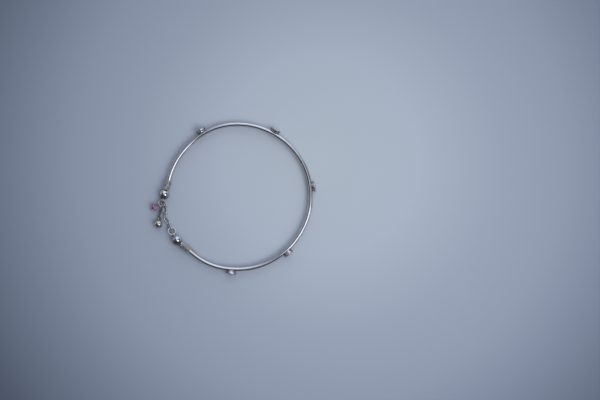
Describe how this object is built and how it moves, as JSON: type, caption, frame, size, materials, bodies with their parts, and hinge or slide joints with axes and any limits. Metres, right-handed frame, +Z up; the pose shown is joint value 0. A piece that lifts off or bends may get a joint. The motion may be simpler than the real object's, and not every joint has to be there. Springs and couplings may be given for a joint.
{
  "type": "closed bangle anklet",
  "caption": "Springy round-rod bangle anklet with flared button studs, wound wire collars and end balls, closed by a short link chain with an S-hook, a bead charm and a small bell.",
  "frame": {"origin": "middle of the base, on the surface that the anklet lies on, under the middle of its box", "axes": "+Z up, along the axis of the hoop; +Y towards the top of the picture; the gap with the chain faces -X"},
  "size_m": [0.0918, 0.0846, 0.0057],
  "materials": {
    "polished_silver": "mirror-polished silver, finely scratched",
    "wound_silver": "wound twisted silver wire, slightly toned between its turns",
    "ball_silver": "mirror-polished silver",
    "chain_silver": "polished silver wire",
    "charm_silver": "polished silver, slightly toned",
    "pink_crystal": "clear pink faceted glass"
  },
  "bodies": {
    "root": {"hoop": "polished_silver", "upper_sleeve": "wound_silver", "lower_sleeve": "wound_silver", "upper_ball": "ball_silver", "lower_ball": "ball_silver", "chain_link_1": "chain_silver", "chain_link_2": "chain_silver", "chain_link_3": "chain_silver", "chain_link_4": "chain_silver", "s_hook": "chain_silver", "closing_ring": "chain_silver", "charm_ring": "charm_silver", "crystal_pin": "charm_silver", "bell_link": "charm_silver", "bell_ring": "charm_silver", "bell": "charm_silver", "crystal": "pink_crystal"}
  },
  "joints": []
}
